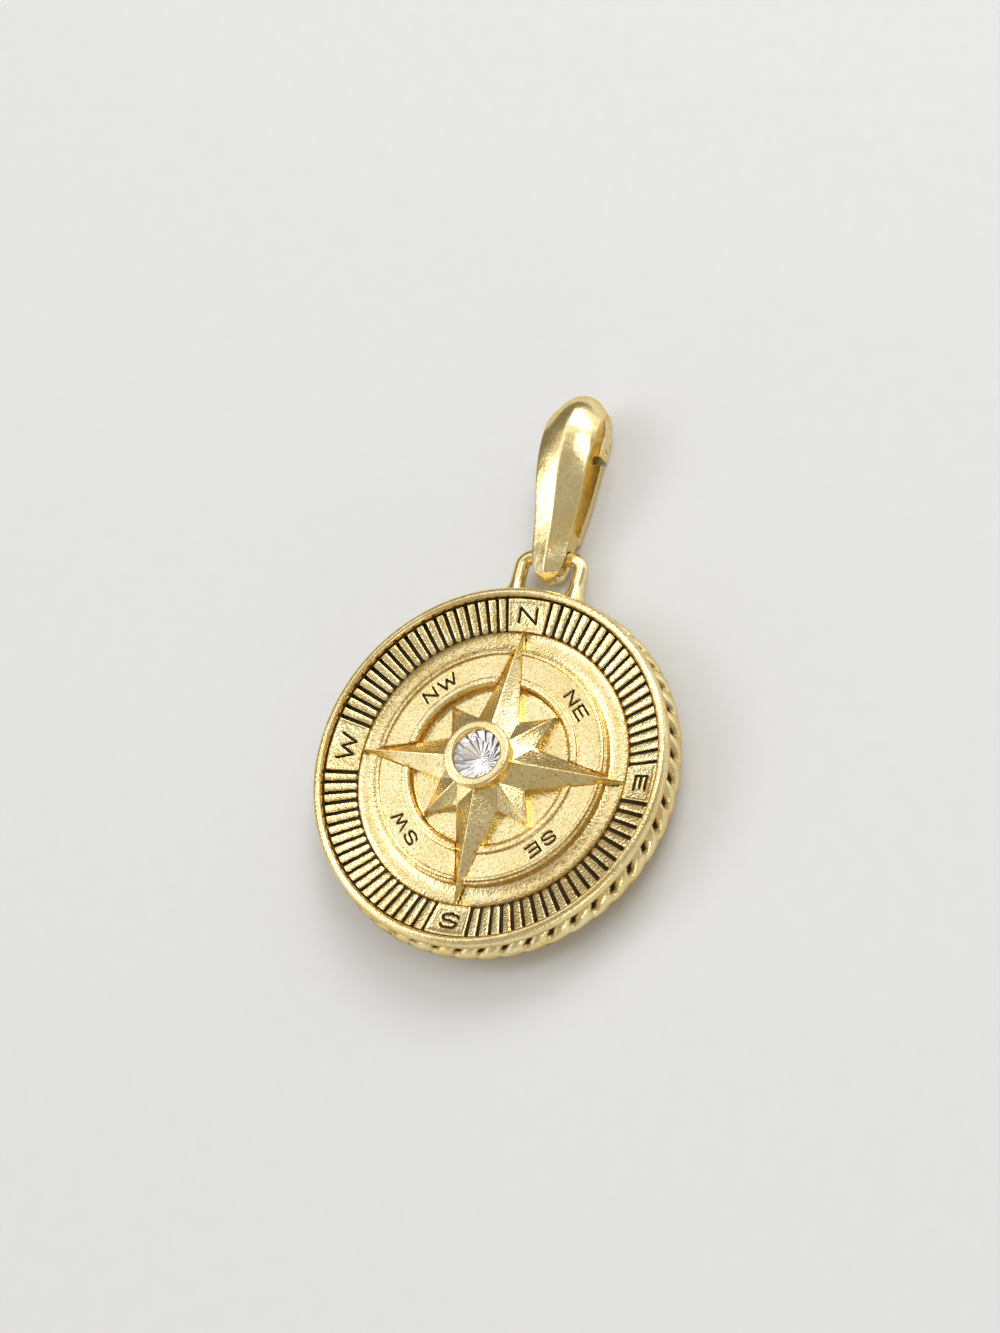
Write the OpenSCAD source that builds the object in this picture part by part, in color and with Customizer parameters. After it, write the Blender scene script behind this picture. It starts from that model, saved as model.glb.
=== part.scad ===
// Compass pendant: a cast round medal with a rope edge, a raised eight-point
// star with one bezel-set stone, and a ridged bail with a hinged gate.
// Millimetres. The medal lies face up on z = 0, its north edge towards +Y.
// The origin is the centre of the back face.

/* [Medal] */
// Outer diameter of the rim
medal_d = 25; // [24.8:0.1:25.4]
// Height of the tick ring's outer edge above the back face
face_z = 3.5; // [3.4:0.1:4]
// Height of the rim's rounded crest above the tick ring
rim_rise = 0.45; // [0.35:0.05:0.55]
// Depth of the sunk floors below the tick ring's outer edge
floor_depth = 0.75; // [0.65:0.05:0.9]

/* [Tick ring] */
// Grooves in each quarter of the ring
quarter_grooves = 20; // [12:1:22]
// Angular width of one groove, degrees
groove_angle = 1.5; // [1.2:0.1:1.8]
// Depth of the grooves
groove_depth = 0.3; // [0.2:0.05:0.35]

/* [Rope edge] */
// Thickness of the twisted wire
rope_d = 2.2; // [2:0.1:2.2]
// Slanted lobes that a full turn of the wire would show
rope_lobes = 48; // [40:2:60]

/* [Star] */
// Radius of the four long points
long_r = 9.5; // [9:0.1:9.5]
// Radius of the four short points
short_r = 5.4; // [5:0.1:5.5]
// Height of the ridges at the hub above the tick ring
ridge_rise = 0.95; // [0.8:0.05:1.1]

/* [Stone] */
// Diameter of the stone at its girdle
stone_d = 3.5; // [3.4:0.1:3.6]
// Height of the bezel's lip above the tick ring
bezel_rise = 2.05; // [2:0.05:2.3]

/* [Loop and bail] */
// Distance of the loop's bar from the medal's centre
bar_y = 15.65; // [15.4:0.05:15.9]
// Thickness of the loop's wire
wire_d = 1; // [0.95:0.05:1.1]
// Radial clearance of the bail on the loop's bar
bar_play = 0.08; // [0.05:0.01:0.1]
// Thickness of the gate's plate
gate_t = 0.6; // [0.5:0.05:0.6]
// Diameter of the gate's hinge pin
pin_d = 0.5; // [0.4:0.05:0.5]

/* [Hidden] */
$fn = 72;

gold = "goldenrod";
pale_gold = "khaki";
stone_colour = "aliceblue";

// Gap between two pieces that are seated in each other
seat_gap = 0.03;
// Length by which a cutter overshoots the face that it cuts
over = 0.2;

// Medal, radii and heights
medal_r = medal_d / 2;
rim_w = 0.66;
rim_inner_r = medal_r - rim_w;
rim_round = 0.24;
rim_round_end = 50;
rim_edge_z = face_z - 0.12;
rim_edge_h = 0.18;
rim_under_z = face_z - 0.5;
rim_chamfer = 0.15;
flange_r = medal_r - 0.85;
flange_chamfer = 0.3;
tick_line_w = 0.1;
tick_line_depth = 0.15;
tick_outer_r = rim_inner_r - tick_line_w;
tick_inner_r = 9.58;
tick_step = 0.15;
floor_z = face_z - floor_depth;
plateau_outer_r = 8.25;
plateau_step_r = 8.03;
band_outer_r = 7.8;
band_inner_r = 6.15;
plateau_inner_r = 5.6;
ring_top_z = face_z - 0.05;
ring_step_z = face_z - 0.22;
band_z = face_z - 0.25;

// Plaques of the four main letters: bearing clockwise from north, half width
// in degrees, and the letter's width and height
BEARING = 0;
HALF_W = 1;
LETTER_W = 2;
LETTER_H = 3;
plaques = [[0.2, 8, 1.4, 1.15], [89.6, 7.3, 1.1, 1], [180.1, 7.6, 1.3, 1.15], [270.5, 9.8, 1.95, 1.15]];

// Letters
main_letter_r = 10.68;
main_stroke = 0.17;
small_letter_r = 6.95;
small_letter_h = 0.87;
small_letter_w = 0.95;
small_wide_w = 1.35;
small_stroke = 0.12;
letter_depth = 0.2;
pair_gap = 0.32;
pair_bearing = [47, 134, 223.7, 315];

// Rope edge
rope_r = rope_d / 2;
rope_proud = 0.25;
rope_ring_r = medal_r + rope_proud - rope_r;
rope_z = rim_under_z - rope_r;
rope_gap_angle = 14.5;
rope_sides = 12;
rope_rings_per_lobe = 4;
rope_strands = 3;
rope_phase = 118;
rope_relief = 0.25;

// Loop block that closes the rope's gap
block_angle = 14.2;
block_r = medal_r - rim_chamfer;
block_inner_r = 10;
block_bottom_z = 0.3;

// Star: valleys between the points and heights relative to the tick ring
valley_r = 3.4;
valley_angle = 25.5;
hub_r = 2;
tip_half_w = 0.05;
flank_power = 1.12;
flank_steps = 4;
valley_edge_dz = -0.05;
LONG = 0;
SHORT = 1;
tip_r = [long_r, short_r];
tip_edge_dz = [-0.55, -0.55];
tip_ridge_dz = [-0.25, -0.32];
hub_ridge_dz = [ridge_rise, ridge_rise - 0.2];
star_bottom_z = floor_z + seat_gap;
pocket_gap = 0.06;

// Bezel and stone
stone_r = stone_d / 2;
bezel_r = stone_r + 0.57;
bezel_round = 0.3;
bezel_waist_r = hub_r + 0.15;
bezel_waist_z = face_z + 0.95;
bezel_top_z = face_z + bezel_rise;
lip_chamfer = 0.1;
girdle_z = bezel_top_z - 0.66;
girdle_t = 0.06;
crown_angle = 34;
pavilion_angle = 40.8;
table_r = stone_r * 0.57;
star_facet_r = stone_r * 0.78;
lip_r = stone_r - 0.08;
lower_half_r = stone_r * 0.24;
seat_bottom_r = 0.35;

// Loop
wire_r = wire_d / 2;
bar_z = 1.35;
leg_x = 2.2;
bend_r = 0.8;
flare_r = 0.9;
flare_len = 1.3;
leg_root_y = 11.4;
flare_root_y = block_r - 0.25;

// Bail, in its own frame: y from the loop's bar, z from the surface it lies on
foot_r = 1.15;
foot_half_w = 0.62;
side_lean = 0.12;
bore_r = wire_r + bar_play;
web_bottom_y = -0.3;
web_top_y = 1.9;
web_back_z = gate_t + 0.15;
web_front_z = 2.35;
web_half_w = 1.1;
hinge_y = 8.4;
hinge_z = 0.62;
cheek_half_w = 1.5;
knuckle_half_w = 0.68;
slot_half_w = knuckle_half_w + 0.04;
knuckle_r = 0.55;
slot_end_gap = 0.15;
slot_roof_gap = 0.35;
slot_top_y = hinge_y + knuckle_r + slot_end_gap;
slot_bottom_y = hinge_y - 1;
pin_seat_gap = 0.01;
pin_play = 0.03;
bail_steps = 4;

// One row for each section of the bail's strap, from behind its foot round
// the front and over the top to the hinge: place of the ridge, half width,
// drop from the ridge to the side edges, wall from the ridge inwards, and
// how far the two facets swell out, as a share of the drop
ROW_Y = 0;
ROW_Z = 1;
ROW_HALF_W = 2;
ROW_DROP = 3;
ROW_WALL = 4;
ROW_SWELL = 5;
bail_rows = [
    [-0.05, 0.24, 0.95, 0.10, 0.45, 0.10],
    [-1.05, 0.20, 0.80, 0.14, 0.55, 0.10],
    [-1.70, 0.62, 0.62, 0.22, 0.75, 0.05],
    [-2.02, 1.35, 0.52, 0.26, 0.92, 0.00],
    [-1.75, 2.15, 0.75, 0.34, 0.92, 0.00],
    [-0.90, 2.66, 1.12, 0.42, 0.90, 0.00],
    [0.70, 2.95, 1.35, 0.42, 0.85, 0.00],
    [2.40, 3.30, 1.50, 0.42, 0.90, 0.00],
    [3.80, 3.75, 1.67, 0.45, 0.95, 0.02],
    [5.20, 4.20, 1.81, 0.50, 1.00, 0.05],
    [7.00, 4.55, 1.92, 0.60, 1.10, 0.10],
    [8.70, 4.60, 1.98, 0.80, 1.30, 0.16],
    [10.20, 4.20, 1.93, 1.05, 1.45, 0.22],
    [11.25, 3.40, 1.80, 1.25, 1.60, 0.26],
    [11.75, 2.35, 1.66, 1.25, 1.60, 0.26],
    [11.55, 1.25, 1.58, 0.95, 1.50, 0.22],
    [10.75, 0.42, 1.55, 0.50, 1.30, 0.20],
    [9.60, 0.04, 1.54, 0.20, 1.22, 0.20],
    [8.70, 0.00, 1.54, 0.10, 1.24, 0.20],
    [7.85, 0.00, 1.54, 0.08, 1.24, 0.20]
];
facet_share = 0.55;

// Gate
gate_bottom_y = 1.3;
gate_wide_top_y = hinge_y - 0.95;
gate_neck_half_w = 0.66;
gate_bottom_half_w = 1.12;
gate_mid_half_w = 1.34;
gate_top_half_w = 1.4;
gate_back_z = 0.08;
gate_corner = 0.3;

// Point at a bearing, clockwise from north
function at_bearing(b, r) = [r * sin(b), r * cos(b)];

// Points of an arc in a plane
function arc(c, r, a0, a1, n) = [for (i = [0 : n])
    let(a = a0 + (a1 - a0) * i / n) c + r * [cos(a), sin(a)]];

// Faces of a skin over `rings` rings of `m` points, closed by flat ends
function skin_faces(rings, m) = concat(
    [[for (j = [0 : m - 1]) j]],
    [for (i = [0 : rings - 2]) for (j = [0 : m - 1])
        let(a = i * m + j, b = i * m + (j + 1) % m) each [[a, a + m, b + m], [a, b + m, b]]],
    [[for (j = [m - 1 : -1 : 0]) (rings - 1) * m + j]]);

// A row between table rows, on a smooth curve through them
function smooth_row(rows, t) = let(
        last = len(rows) - 1,
        i = min(floor(t), last - 1),
        u = t - i,
        p0 = rows[max(i - 1, 0)],
        p1 = rows[i],
        p2 = rows[i + 1],
        p3 = rows[min(i + 2, last)])
    0.5 * (2 * p1 + (p2 - p0) * u + (2 * p0 - 5 * p1 + 4 * p2 - p3) * u * u
        + (3 * p1 - p0 - 3 * p2 + p3) * u * u * u);

// Half section of the case, from the axis along the back, round the rim and in over the face
groove_r = rope_r + seat_gap;
groove_start = -acos((flange_r - rope_ring_r) / groove_r);
groove_end = asin((rim_under_z - rope_z) / groove_r);
case_section = concat(
    [[0, 0], [flange_r - flange_chamfer, 0], [flange_r, flange_chamfer]],
    arc([rope_ring_r, rope_z], groove_r, 360 + groove_start, groove_end, 14),
    [[medal_r - rim_chamfer, rim_under_z], [medal_r, rim_edge_z - rim_edge_h], [medal_r, rim_edge_z]],
    arc([rim_inner_r + rim_round, face_z + rim_rise - rim_round], rim_round, rim_round_end, 180, 8),
    [[rim_inner_r, face_z - tick_line_depth], [tick_outer_r, face_z - tick_line_depth],
        [tick_outer_r, face_z], [tick_inner_r, floor_z + tick_step], [tick_inner_r, floor_z],
        [plateau_outer_r, floor_z], [plateau_outer_r, ring_step_z], [plateau_step_r, ring_step_z],
        [plateau_step_r, ring_top_z], [band_outer_r, ring_top_z], [band_outer_r, band_z],
        [band_inner_r, band_z], [band_inner_r, ring_top_z], [plateau_inner_r, ring_top_z],
        [plateau_inner_r, floor_z], [0, floor_z]]);

module ring_wedge(r0, r1, half_angle, z0, z1) {
    reach = r1 / cos(half_angle);
    translate([0, 0, z0])
        linear_extrude(z1 - z0)
            polygon([at_bearing(-half_angle, r0), at_bearing(half_angle, r0),
                at_bearing(half_angle, reach), at_bearing(-half_angle, reach)]);
}

// The tick ring slopes down inwards: place children on it, with the outer edge
// as the tangent line y = 0 and a fall over the ring's width
module on_slope(fall) {
    translate([0, tick_outer_r, face_z])
        rotate([atan(fall / (tick_outer_r - tick_inner_r)), 0, 0])
            children();
}

// One groove, at its full depth by the rim and running out on the floor inside
module tick_groove() {
    reach = tick_outer_r - tick_inner_r + over;
    w = tan(groove_angle / 2);
    translate([0, 0, -groove_depth])
        on_slope(floor_depth - groove_depth - over / 2)
            linear_extrude(floor_depth)
                polygon([[-w * tick_inner_r, -reach], [w * tick_inner_r, -reach],
                    [w * medal_r, tick_line_w / 2], [-w * medal_r, tick_line_w / 2]]);
}

module tick_grooves() {
    for (q = [0 : 3]) {
        start = plaques[q][BEARING] + plaques[q][HALF_W];
        next = plaques[(q + 1) % 4];
        stop = next[BEARING] + (q == 3 ? 360 : 0) - next[HALF_W];
        for (i = [0 : quarter_grooves - 1])
            rotate(-(start + (stop - start) * i / (quarter_grooves - 1))) tick_groove();
    }
}

// One straight stroke of a letter between two points
module stroke(p, q, w) {
    d = q - p;
    l = norm(d);
    n = [-d[1], d[0]] / l * w / 2;
    e = d / l * w / 2;
    polygon([p - e + n, p - e - n, q + e - n, q + e + n]);
}

// A letter of height h between the outer lines of its strokes, centred
module letter(c, width, height, w) {
    x = (width - w) / 2;
    y = (height - w) / 2;
    if (c == "N") {
        stroke([-x, -y], [-x, y], w);
        stroke([-x, y], [x, -y], w);
        stroke([x, -y], [x, y], w);
    }
    if (c == "E") {
        stroke([-x, -y], [-x, y], w);
        for (s = [-1, 0, 1]) stroke([-x, s * y], [x * (s == 0 ? 0.7 : 1), s * y], w);
    }
    if (c == "W") {
        stroke([-x, y], [-x / 2, -y], w);
        stroke([-x / 2, -y], [0, 0.7 * y], w);
        stroke([0, 0.7 * y], [x / 2, -y], w);
        stroke([x / 2, -y], [x, y], w);
    }
    if (c == "S") {
        r = y / 2;
        scale([x / r, 1]) for (bow = [1, -1])
            rotate(bow > 0 ? 0 : 180)
                polygon(concat(arc([0, r], r + w / 2, 10, 270, 14), arc([0, r], r - w / 2, 270, 10, 14)));
    }
}

module letter_cutters() {
    translate([0, 0, -letter_depth]) linear_extrude(letter_depth + over) children();
}

module main_letters() {
    letters = ["N", "E", "S", "W"];
    for (i = [0 : 3])
        rotate(-plaques[i][BEARING])
            on_slope(floor_depth - tick_step)
                translate([0, main_letter_r - tick_outer_r])
                    letter_cutters()
                        letter(letters[i], plaques[i][LETTER_W], plaques[i][LETTER_H], main_stroke);
}

function small_w(c) = c == "W" ? small_wide_w : small_letter_w;

module small_letters() {
    pairs = [["N", "E"], ["S", "E"], ["S", "W"], ["N", "W"]];
    for (i = [0 : 3]) {
        widths = [small_w(pairs[i][0]), small_w(pairs[i][1])];
        left_x = -(widths[0] + pair_gap + widths[1]) / 2;
        at_x = [left_x + widths[0] / 2, left_x + widths[0] + pair_gap + widths[1] / 2];
        for (k = [0, 1])
            rotate(-pair_bearing[i]) translate([at_x[k], small_letter_r, band_z])
                letter_cutters() letter(pairs[i][k], widths[k], small_letter_h, small_stroke);
    }
}

module loop_bend() {
    rotate_extrude(angle = 90) translate([bend_r, 0]) circle(wire_r);
}

// The loop for the bail, soldered to a block that closes the rope's gap
module loop() {
    intersection() {
        ring_wedge(block_inner_r, block_r, block_angle, block_bottom_z, rim_under_z + over);
        cylinder(r = block_r, h = face_z);
    }
    straight = leg_x - bend_r;
    translate([-straight, bar_y, bar_z]) rotate([0, 90, 0]) cylinder(r = wire_r, h = 2 * straight);
    for (side = [-1, 1]) {
        translate([side * leg_x, leg_root_y, bar_z]) rotate([-90, 0, 0])
            cylinder(r = wire_r, h = bar_y - bend_r - leg_root_y);
        translate([side * leg_x, flare_root_y, bar_z]) rotate([-90, 0, 0])
            cylinder(r1 = flare_r, r2 = wire_r, h = flare_len);
    }
    translate([straight, bar_y - bend_r, bar_z]) loop_bend();
    mirror([1, 0, 0]) translate([straight, bar_y - bend_r, bar_z]) loop_bend();
}

// Half width of a point at a share of the way from its valley to its tip
function flank_w(kind, u) = let(root = valley_half_w(kind))
    root * pow(1 - u, flank_power) + tip_half_w * u;
function valley_half_w(kind) = valley_r * sin(kind == LONG ? valley_angle : 45 - valley_angle);
function valley_along(kind) = valley_r * cos(kind == LONG ? valley_angle : 45 - valley_angle);

// Outline point of a star point: side -1 or 1, share u from valley to tip
function flank_point(kind, side, u, grow) = [
    side * (flank_w(kind, u) + grow),
    valley_along(kind) + (tip_r[kind] + grow - valley_along(kind)) * u];

// Turn a point clockwise from north
function turned(p, b) = [p[0] * cos(b) + p[1] * sin(b), p[1] * cos(b) - p[0] * sin(b)];

// Cutter that lets the long points through the raised middle of the case
module star_pocket() {
    translate([0, 0, floor_z]) linear_extrude(face_z)
        for (b = [0 : 90 : 270])
            polygon([for (side = [-1, 1]) for (i = [0 : flank_steps])
                let(u = (side < 0 ? i : flank_steps - i) / flank_steps)
                turned(flank_point(LONG, side, u, pocket_gap), b)]);
}

module medal_case() {
    color(gold)
        difference() {
            union() {
                rotate_extrude() polygon(case_section);
                loop();
            }
            tick_grooves();
            main_letters();
            small_letters();
            star_pocket();
        }
}

// Radius of the rope's skin at an angle round the wire and a turn along it
function rope_skin_r(around, along) =
    rope_r - rope_relief * (1 - cos(rope_strands * around - along * rope_lobes + rope_phase)) / 2;

module rope_edge() {
    span = 360 - 2 * rope_gap_angle;
    rings = round(rope_lobes * span / 360) * rope_rings_per_lobe + 1;
    points = [for (i = [0 : rings - 1]) for (j = [0 : rope_sides - 1])
        let(b = rope_gap_angle + span * i / (rings - 1),
            a = 360 * j / rope_sides,
            s = rope_skin_r(a, b),
            p = at_bearing(b, rope_ring_r + s * cos(a)))
        [p[0], p[1], rope_z - s * sin(a)]];
    color(gold) polyhedron(points, skin_faces(rings, rope_sides), convexity = 6);
}

// Star body: for each point a ridge, two sloping sides and upright flanks
function point_kind(k) = k % 2 == 0 ? LONG : SHORT;
function ridge_z(kind, u) = face_z + hub_ridge_dz[kind] + (tip_ridge_dz[kind] - hub_ridge_dz[kind]) * u;
function edge_z(kind, u) = face_z + valley_edge_dz + (tip_edge_dz[kind] - valley_edge_dz) * u;
function ridge_y(kind, u) = hub_r + (tip_r[kind] - hub_r) * u;

// Outline of the whole star, clockwise from the north point's left valley: for
// each point its left flank out, its right flank back, and the next valley
points_n = 8;
outline_n = 2 * flank_steps + 1;
function flank_top(k, side, i) = let(
        kind = point_kind(k),
        u = i / flank_steps,
        p = turned(flank_point(kind, side, u, 0), 45 * k))
    [p[0], p[1], edge_z(kind, u)];
star_outline = [for (k = [0 : points_n - 1]) each concat(
    [for (i = [1 : flank_steps]) flank_top(k, -1, i)],
    [for (i = [flank_steps : -1 : 0]) flank_top(k, 1, i)])];
star_ridges = [for (k = [0 : points_n - 1]) for (i = [0 : flank_steps])
    let(u = i / flank_steps, p = turned([0, ridge_y(point_kind(k), u)], 45 * k))
    [p[0], p[1], ridge_z(point_kind(k), u)]];

// The star's body: sloping sides up to eight ridges, upright flanks, flat base
module star_body() {
    outline = len(star_outline);
    n = flank_steps;
    left = function(k, i) i == 0 ? (k * outline_n + outline - 1) % outline : k * outline_n + i - 1;
    right = function(k, i) k * outline_n + 2 * n - i;
    ridge = function(k, i) outline + k * (n + 1) + i;
    base = outline + len(star_ridges);
    centre = base + outline;
    faces = concat(
        [for (k = [0 : points_n - 1]) for (i = [0 : n - 1]) each [
            [left(k, i), left(k, i + 1), ridge(k, i + 1)], [left(k, i), ridge(k, i + 1), ridge(k, i)],
            [ridge(k, i), ridge(k, i + 1), right(k, i + 1)], [ridge(k, i), right(k, i + 1), right(k, i)]]],
        [for (k = [0 : points_n - 1]) let(next = (k + 1) % points_n) each [
            [left(k, n), right(k, n), ridge(k, n)],
            [ridge(k, 0), right(k, 0), ridge(next, 0)],
            [ridge(k, 0), ridge(next, 0), centre]]],
        [for (i = [0 : outline - 1]) let(j = (i + 1) % outline) [i, base + i, base + j, j]],
        [[for (i = [outline - 1 : -1 : 0]) base + i]]);
    points = concat(star_outline, star_ridges, [for (p = star_outline) [p[0], p[1], star_bottom_z]],
        [[0, 0, face_z + hub_ridge_dz[SHORT]]]);
    polyhedron(points, faces, convexity = 8);
}

// Section of the bezel cup, outside up and inside down to the stone's seat
bezel_root_z = star_bottom_z + 0.1;
seat_girdle_r = stone_r + seat_gap;
seat_cone_z = girdle_z - (seat_girdle_r - seat_bottom_r) * tan(pavilion_angle) - seat_gap;
seat_bottom_z = girdle_z - stone_r * tan(pavilion_angle) - 2 * seat_gap;
bezel_section = concat(
    [[0, bezel_root_z], [hub_r - bezel_round, bezel_root_z], [bezel_waist_r, face_z],
        [bezel_waist_r, bezel_waist_z]],
    arc([bezel_r - bezel_round, bezel_top_z - bezel_round], bezel_round, 0, 90, 5),
    [[lip_r + lip_chamfer, bezel_top_z], [lip_r, bezel_top_z - lip_chamfer],
        [lip_r, girdle_z + girdle_t + lip_chamfer],
        [seat_girdle_r, girdle_z + girdle_t + seat_gap], [seat_girdle_r, girdle_z - seat_gap],
        [seat_bottom_r, seat_cone_z], [seat_bottom_r, seat_bottom_z], [0, seat_bottom_z]]);

module compass_star() {
    color(pale_gold)
        difference() {
            union() {
                star_body();
                rotate_extrude() polygon(bezel_section);
            }
            // Hollow under the stone
            rotate_extrude() polygon([[0, seat_bottom_z], [seat_bottom_r, seat_bottom_z],
                [seat_bottom_r, seat_cone_z], [seat_girdle_r, girdle_z - seat_gap],
                [0, girdle_z - seat_gap]]);
        }
}

// Brilliant cut: table, star and kite facets, girdle, and pavilion facets
module center_stone() {
    crown_h = (stone_r - table_r) * tan(crown_angle);
    star_h = (stone_r - star_facet_r) * tan(crown_angle) * 1.15;
    pavilion_h = stone_r * tan(pavilion_angle);
    low_h = (stone_r - lower_half_r) * tan(pavilion_angle) * 0.99;
    top_z = girdle_z + girdle_t;
    ring = function(r, z, n, turn) [for (i = [0 : n - 1])
        let(a = 360 * i / n + turn) [r * cos(a), r * sin(a), z]];
    points = concat(
        ring(table_r, top_z + crown_h, 8, 0),
        ring(star_facet_r, top_z + star_h, 8, 22.5),
        ring(stone_r, top_z, 16, 0),
        ring(stone_r, girdle_z, 16, 0),
        ring(lower_half_r, girdle_z - low_h, 8, 22.5),
        [[0, 0, girdle_z - pavilion_h]]);
    crown = 8;
    girdle = 16;
    under = 32;
    low = 48;
    culet = 56;
    faces = concat(
        [[for (i = [7 : -1 : 0]) i]],
        [for (i = [0 : 7]) let(j = (i + 1) % 8) each [
            [i, j, crown + i],
            [i, crown + i, girdle + 2 * i],
            [i, girdle + 2 * i, crown + (i + 7) % 8],
            [crown + i, girdle + (2 * i + 1) % 16, girdle + 2 * i],
            [crown + i, girdle + (2 * i + 2) % 16, girdle + (2 * i + 1) % 16],
            [under + 2 * i, under + (2 * i + 1) % 16, low + i],
            [under + (2 * i + 1) % 16, under + (2 * i + 2) % 16, low + i],
            [under + (2 * i + 2) % 16, low + j, low + i],
            [low + i, low + j, culet]]],
        [for (i = [0 : 15]) let(j = (i + 1) % 16) each [
            [girdle + i, girdle + j, under + j], [girdle + i, under + j, under + i]]]);
    color(stone_colour) polyhedron(points, faces, convexity = 2);
}

// Section of the bail's strap at a row: ridge, side edges and inner corners
function strap_ring(t) = let(
        row = smooth_row(bail_rows, t),
        ahead = smooth_row(bail_rows, min(t + 0.05, len(bail_rows) - 1)),
        behind = smooth_row(bail_rows, max(t - 0.05, 0)),
        d = [ahead[ROW_Y] - behind[ROW_Y], ahead[ROW_Z] - behind[ROW_Z]],
        inward = [d[1], -d[0]] / norm(d),
        w = row[ROW_HALF_W],
        facet = row[ROW_DROP] * (facet_share - row[ROW_SWELL]),
        place = function(x, depth) [x, row[ROW_Y] + inward[0] * depth, row[ROW_Z] + inward[1] * depth])
    [place(0, 0), place(facet_share * w, facet), place(w, row[ROW_DROP]),
        place(w - side_lean, row[ROW_WALL]), place(side_lean - w, row[ROW_WALL]),
        place(-w, row[ROW_DROP]), place(-facet_share * w, facet)];

module strap() {
    last = (len(bail_rows) - 1) * bail_steps;
    rings = [for (i = [0 : last]) strap_ring(i / bail_steps)];
    polyhedron([for (r = rings) each r], skin_faces(len(rings), len(rings[0])), convexity = 8);
}

module across(r, half_w, y, z) {
    translate([-half_w, y, z]) rotate([0, 90, 0]) cylinder(r = r, h = 2 * half_w);
}

module bail() {
    color(gold)
        translate([0, bar_y, 0])
            difference() {
                union() {
                    strap();
                    across(foot_r, foot_half_w, 0, bar_z);
                    translate([-web_half_w, web_bottom_y, web_back_z])
                        cube([2 * web_half_w, web_top_y - web_bottom_y, web_front_z - web_back_z]);
                }
                across(bore_r, leg_x, 0, bar_z);
                translate([-slot_half_w, slot_bottom_y, -over])
                    cube([2 * slot_half_w, slot_top_y - slot_bottom_y,
                        hinge_z + knuckle_r + slot_roof_gap + over]);
                across(pin_d / 2 + pin_seat_gap, cheek_half_w + over, hinge_y, hinge_z);
            }
}

module bail_gate() {
    color(pale_gold)
        translate([0, bar_y, 0])
            difference() {
                union() {
                    translate([0, 0, gate_back_z]) linear_extrude(gate_t)
                        polygon([
                            [-gate_bottom_half_w + gate_corner, gate_bottom_y],
                            [gate_bottom_half_w - gate_corner, gate_bottom_y],
                            [gate_bottom_half_w, gate_bottom_y + gate_corner],
                            [gate_mid_half_w, hinge_y / 2],
                            [gate_top_half_w, gate_wide_top_y],
                            [gate_neck_half_w, gate_wide_top_y],
                            [gate_neck_half_w, hinge_y],
                            [-gate_neck_half_w, hinge_y],
                            [-gate_neck_half_w, gate_wide_top_y],
                            [-gate_top_half_w, gate_wide_top_y],
                            [-gate_mid_half_w, hinge_y / 2],
                            [-gate_bottom_half_w, gate_bottom_y + gate_corner]]);
                    across(knuckle_r, knuckle_half_w, hinge_y, hinge_z);
                }
                across(pin_d / 2 + pin_play, knuckle_half_w + over, hinge_y, hinge_z);
            }
}

module hinge_pin() {
    color(gold) translate([0, bar_y, 0]) across(pin_d / 2, cheek_half_w - seat_gap, hinge_y, hinge_z);
}

medal_case();
rope_edge();
compass_star();
center_stone();
bail();
bail_gate();
hinge_pin();
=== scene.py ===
"""Looks of the compass pendant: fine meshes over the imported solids, gold and stone, studio and camera.

Lengths are millimetres in the part's frame and become metres in mesh_from and with MM.
"""

import math

import bmesh
import bpy
import numpy as np
from mathutils import Matrix, Vector


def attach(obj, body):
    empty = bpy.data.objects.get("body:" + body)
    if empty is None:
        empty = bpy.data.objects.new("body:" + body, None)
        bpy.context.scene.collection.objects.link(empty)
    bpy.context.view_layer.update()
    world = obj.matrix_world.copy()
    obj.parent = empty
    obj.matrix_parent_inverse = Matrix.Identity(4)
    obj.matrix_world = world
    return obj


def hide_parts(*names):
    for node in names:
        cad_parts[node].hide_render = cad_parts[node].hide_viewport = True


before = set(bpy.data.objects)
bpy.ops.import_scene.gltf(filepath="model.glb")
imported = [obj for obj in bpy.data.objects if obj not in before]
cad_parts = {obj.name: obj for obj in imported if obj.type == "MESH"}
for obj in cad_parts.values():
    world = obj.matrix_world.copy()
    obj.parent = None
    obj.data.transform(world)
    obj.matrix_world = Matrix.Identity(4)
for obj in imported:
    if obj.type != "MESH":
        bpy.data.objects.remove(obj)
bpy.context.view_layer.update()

MM = 0.001

# Sizes in millimetres, as in the part's source
FACE_Z = 3.5
MEDAL_R = 12.5
RIM_INNER_R = MEDAL_R - 0.66
RIM_CREST_R = RIM_INNER_R + 0.24
RIM_TOP_Z = FACE_Z + 0.45
RIM_UNDER_Z = FACE_Z - 0.5
FLANGE_R = MEDAL_R - 0.85
TICK_OUTER_R = RIM_INNER_R - 0.1
TICK_INNER_R = 9.58
FLOOR_Z = FACE_Z - 0.75
TICK_INNER_Z = FLOOR_Z + 0.15
PLATEAU_OUTER_R = 8.25
PLATEAU_INNER_R = 5.6
BAND_OUTER_R = 7.8
BAND_INNER_R = 6.15
RING_TOP_Z = FACE_Z - 0.05
BAND_Z = FACE_Z - 0.25
PLATEAU_STEP_R = 8.03
PLATEAU_STEP_Z = FACE_Z - 0.22
WELL_STOP_R = 1.5
QUARTER_GROOVES = 20
GROOVE_DEPTH = 0.3
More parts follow.
